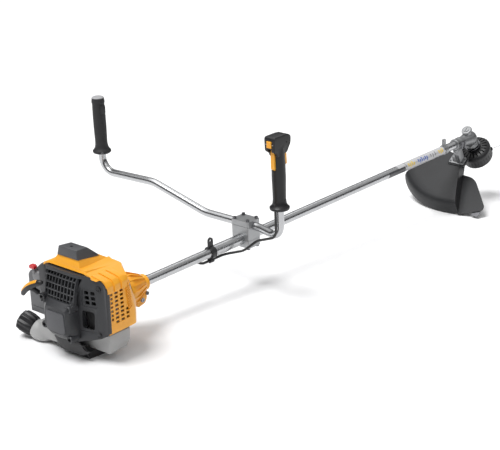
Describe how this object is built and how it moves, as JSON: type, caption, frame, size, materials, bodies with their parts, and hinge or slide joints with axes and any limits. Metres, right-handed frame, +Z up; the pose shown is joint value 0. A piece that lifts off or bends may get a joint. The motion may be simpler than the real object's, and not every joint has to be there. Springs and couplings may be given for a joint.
{
  "type": "string trimmer",
  "caption": "Petrol string trimmer: rear engine, straight drive tube, bicycle handlebar with throttle grip, bevel gear case, fan-shaped guard and bump-feed line head.",
  "frame": {"origin": "centre of the footprint box, on the floor the machine rests on", "axes": "+X from the engine towards the cutting head, +Y to the operator's left, +Z up"},
  "size_m": [1.953, 0.752, 0.4765],
  "materials": {
    "yellow_plastic": "moulded yellow nylon, satin gloss",
    "dark_plastic": "dark grey moulded nylon, fine grain",
    "grey_plastic": "mid grey moulded nylon",
    "black_plastic": "black moulded plastic",
    "grip_rubber": "soft black grip, matte",
    "grip_cap_grey": "light grey cap",
    "tube_metal": "anodised aluminium tube",
    "bar_metal": "polished aluminium bar",
    "cast_alloy": "die-cast, bead blasted",
    "engine_alloy": "rough casting",
    "steel": "machined steel",
    "screw_steel": "zinc-plated screws",
    "tank_plastic": "translucent milky plastic",
    "red_plastic": "red lever",
    "label_film": "plain printed film, no text",
    "line_nylon": "clear grey nylon line",
    "cable_black": "black cable conduit",
    "ceramic": "spark plug insulator and body"
  },
  "bodies": {
    "machine": {"drive_tube": "tube_metal", "grip_sleeve": "tube_metal", "tube_labels": "label_film", "carrying_ring": "black_plastic", "tube_clip": "cast_alloy", "shaft_bushings": "black_plastic", "clamp_saddle": "cast_alloy", "clamp_base": "cast_alloy", "clamp_cap": "cast_alloy", "clamp_bolts": "screw_steel", "handlebar": "bar_metal", "left_grip": "grip_rubber", "left_grip_cap": "grip_cap_grey", "lever_pins": "steel", "right_grip": "black_plastic", "clutch_housing": "yellow_plastic", "crankcase": "engine_alloy", "cylinder": "engine_alloy", "piston": "engine_alloy", "spark_plug": "ceramic", "ignition_coil": "black_plastic", "muffler": "steel", "carburettor": "engine_alloy", "filter_cover": "grey_plastic", "fuel_tank": "tank_plastic", "stand": "black_plastic", "throttle_cable": "cable_black", "engine_cover": "yellow_plastic", "top_cap": "grey_plastic", "starter_cover": "dark_plastic", "badge_plate": "dark_plastic", "gear_case": "cast_alloy", "case_plug": "cast_alloy", "shaft_bearings": "steel", "case_screws": "screw_steel", "guard": "black_plastic", "guard_bracket": "steel", "line_cutter": "steel"},
    "crank": {"crankshaft": "steel", "flywheel": "engine_alloy", "clutch_shoes": "steel"},
    "drive": {"drive_shaft": "steel", "clutch_drum": "steel"},
    "head": {"output_shaft": "steel", "output_gear": "steel", "trimmer_head": "black_plastic", "line_a": "line_nylon", "line_b": "line_nylon"},
    "bump": {"bump_knob": "black_plastic", "line_spool": "black_plastic"},
    "trigger": {"throttle_trigger": "yellow_plastic"},
    "lockout": {"lockout_lever": "yellow_plastic"},
    "switch": {"stop_switch": "yellow_plastic"},
    "carb_arm": {"throttle_arm": "steel"},
    "choke": {"choke_lever": "red_plastic"},
    "pulley": {"starter_pulley": "black_plastic"},
    "pull_handle": {"starter_handle": "black_plastic", "starter_rope": "cable_black"},
    "tank_cap": {"fuel_cap": "black_plastic"}
  },
  "joints": [
    {"name": "crank_spin", "type": "hinge", "parent": "machine", "child": "crank", "pos_m": [-0.81675, -0.201, 0.11515], "axis": [0.9983, 0, 0.0587], "continuous": true},
    {"name": "drive_spin", "type": "hinge", "parent": "machine", "child": "drive", "pos_m": [0.0767, -0.201, 0.16773], "axis": [0.9983, 0, 0.0587], "continuous": true},
    {"name": "head_spin", "type": "hinge", "parent": "machine", "child": "head", "pos_m": [0.84936, -0.201, 0.21321], "axis": [-0.6207, 0, 0.784], "continuous": true},
    {"name": "bump_feed", "type": "slide", "parent": "head", "child": "bump", "axis": [-0.6207, 0, 0.784], "range_m": [0, 0.006], "stiffness_N_per_m": 1500, "springref_m": -0.004},
    {"name": "throttle_squeeze", "type": "hinge", "parent": "machine", "child": "trigger", "pos_m": [-0.26724, -0.349, 0.42898], "axis": [0, 1, 0], "range_deg": [0, 16], "stiffness_Nm_per_rad": 0.4, "springref_deg": -14.32},
    {"name": "lockout_squeeze", "type": "hinge", "parent": "machine", "child": "lockout", "pos_m": [-0.30066, -0.349, 0.43503], "axis": [0, -1, 0], "range_deg": [0, 7], "stiffness_Nm_per_rad": 0.5, "springref_deg": -11.46},
    {"name": "switch_rock", "type": "hinge", "parent": "machine", "child": "switch", "pos_m": [-0.31768, -0.349, 0.45206], "axis": [0, 1, 0], "range_deg": [-5, 5]},
    {"name": "carb_throttle", "type": "hinge", "parent": "machine", "child": "carb_arm", "pos_m": [-0.81088, -0.134, 0.18562], "axis": [-0.0587, 0, 0.9983], "range_deg": [0, 60]},
    {"name": "choke_turn", "type": "hinge", "parent": "machine", "child": "choke", "pos_m": [-0.87536, -0.072, 0.17481], "axis": [0.9983, 0, 0.0587], "range_deg": [0, 50]},
    {"name": "starter_pull", "type": "slide", "parent": "machine", "child": "pull_handle", "axis": [-0.5992, 0.4597, 0.6555], "range_m": [0, 0.45], "stiffness_N_per_m": 30, "springref_m": -0.3, "deforming": ["starter_rope"]},
    {"name": "pulley_spin", "type": "hinge", "parent": "machine", "child": "pulley", "pos_m": [-0.91259, -0.201, 0.10951], "axis": [0.9983, 0, 0.0587], "range_deg": [0, 923]},
    {"name": "fuel_cap_turn", "type": "hinge", "parent": "machine", "child": "tank_cap", "pos_m": [-0.8713, -0.021, 0.03782], "axis": [-0.2419, 0.9021, 0.3573], "range_deg": [0, 120]}
  ],
  "couplings": [
    {"joint": "head_spin", "follows": "drive_spin", "ratio": 0.75},
    {"joint": "carb_throttle", "follows": "throttle_squeeze", "ratio": 3.5},
    {"joint": "pulley_spin", "follows": "starter_pull", "rad_per_m": 35.714}
  ]
}
